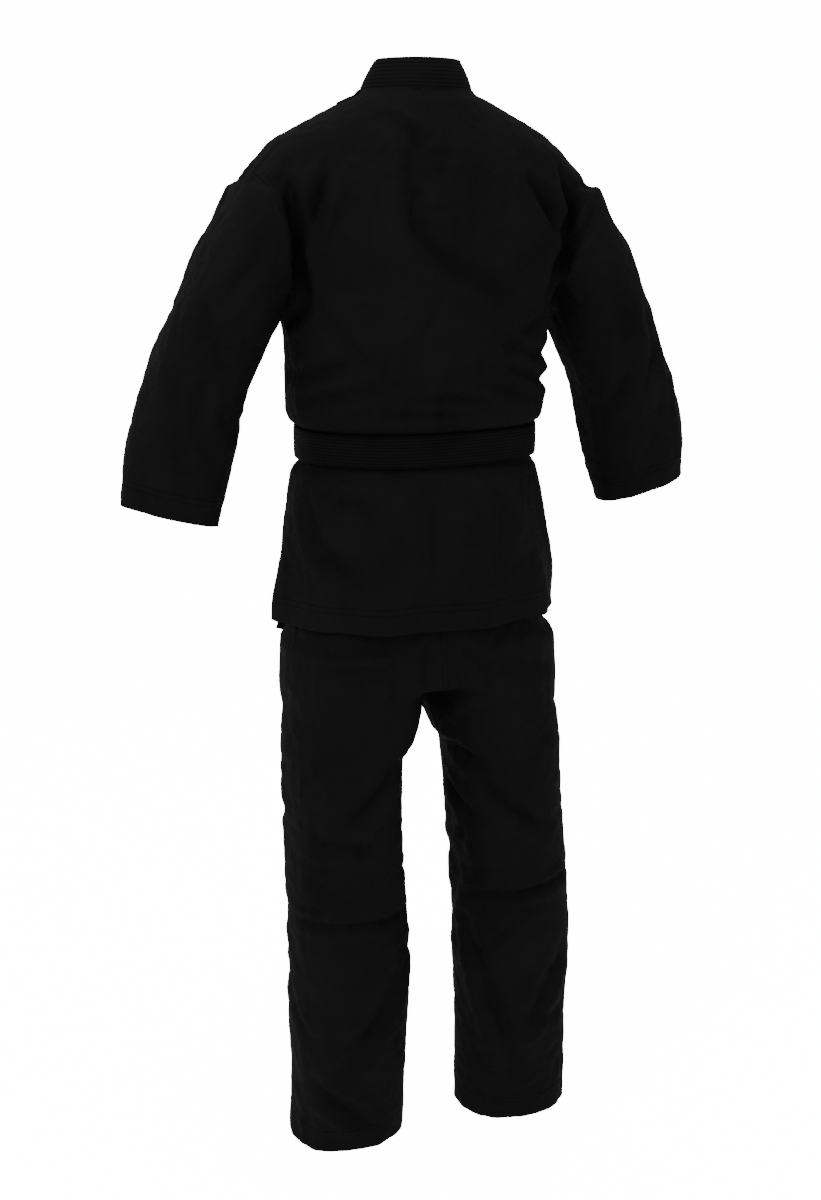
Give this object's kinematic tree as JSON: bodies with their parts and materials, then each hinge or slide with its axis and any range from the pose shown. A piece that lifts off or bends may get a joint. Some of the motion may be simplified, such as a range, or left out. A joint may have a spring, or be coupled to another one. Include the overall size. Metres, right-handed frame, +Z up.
{
  "type": "martial arts uniform",
  "caption": "Worn cotton martial arts uniform: wrapped jacket with lapel band, wide wrapped belt tied at the front and straight-legged trousers.",
  "frame": {"origin": "the wearer's shoulder line at the middle of the neck", "axes": "+Z up, the uniform's front faces -Y, the wearer's left is +X"},
  "size_m": [0.7832, 0.2903, 1.448],
  "materials": {
    "cotton": "matte black cotton drill",
    "belt": "black cotton belt with rows of stitching"
  },
  "bodies": {
    "jacket": {"jacket_back_panel": "cotton", "jacket_left_front_panel": "cotton", "jacket_right_front_panel": "cotton", "left_lapel_band": "cotton", "right_lapel_band": "cotton", "collar_band": "cotton", "shoulder_lining": "cotton", "left_underarm_gusset": "cotton", "right_underarm_gusset": "cotton", "outer_tie": "cotton", "inner_tie": "cotton", "belt_inner_turn": "belt", "belt_outer_turn": "belt", "belt_knot": "belt", "trouser_waistband": "cotton", "left_trouser_seat": "cotton", "right_trouser_seat": "cotton", "crotch_gusset": "cotton"},
    "left_arm": {"left_sleeve": "cotton"},
    "right_arm": {"right_sleeve": "cotton"},
    "left_leg": {"left_trouser_leg": "cotton"},
    "right_leg": {"right_trouser_leg": "cotton"},
    "left_tail": {"left_belt_tail": "belt"},
    "right_tail": {"right_belt_tail": "belt"}
  },
  "joints": [
    {"name": "left_sleeve_raise", "type": "hinge", "parent": "jacket", "child": "left_arm", "pos_m": [0.235, 0, -0.175], "axis": [0, -1, 0], "range_deg": [0, 45]},
    {"name": "right_sleeve_raise", "type": "hinge", "parent": "jacket", "child": "right_arm", "pos_m": [-0.235, 0, -0.175], "axis": [0, 1, 0], "range_deg": [0, 45]},
    {"name": "left_leg_spread", "type": "hinge", "parent": "jacket", "child": "left_leg", "pos_m": [0.085, 0, -0.684], "axis": [0, -1, 0], "range_deg": [0, 20]},
    {"name": "right_leg_spread", "type": "hinge", "parent": "jacket", "child": "right_leg", "pos_m": [-0.085, 0, -0.684], "axis": [0, 1, 0], "range_deg": [0, 20]},
    {"name": "left_tail_swing", "type": "hinge", "parent": "jacket", "child": "left_tail", "pos_m": [0.02, -0.1242, -0.4607], "axis": [-1, 0, 0], "range_deg": [0, 60]},
    {"name": "right_tail_swing", "type": "hinge", "parent": "jacket", "child": "right_tail", "pos_m": [-0.02, -0.1242, -0.4607], "axis": [-1, 0, 0], "range_deg": [0, 60]}
  ]
}
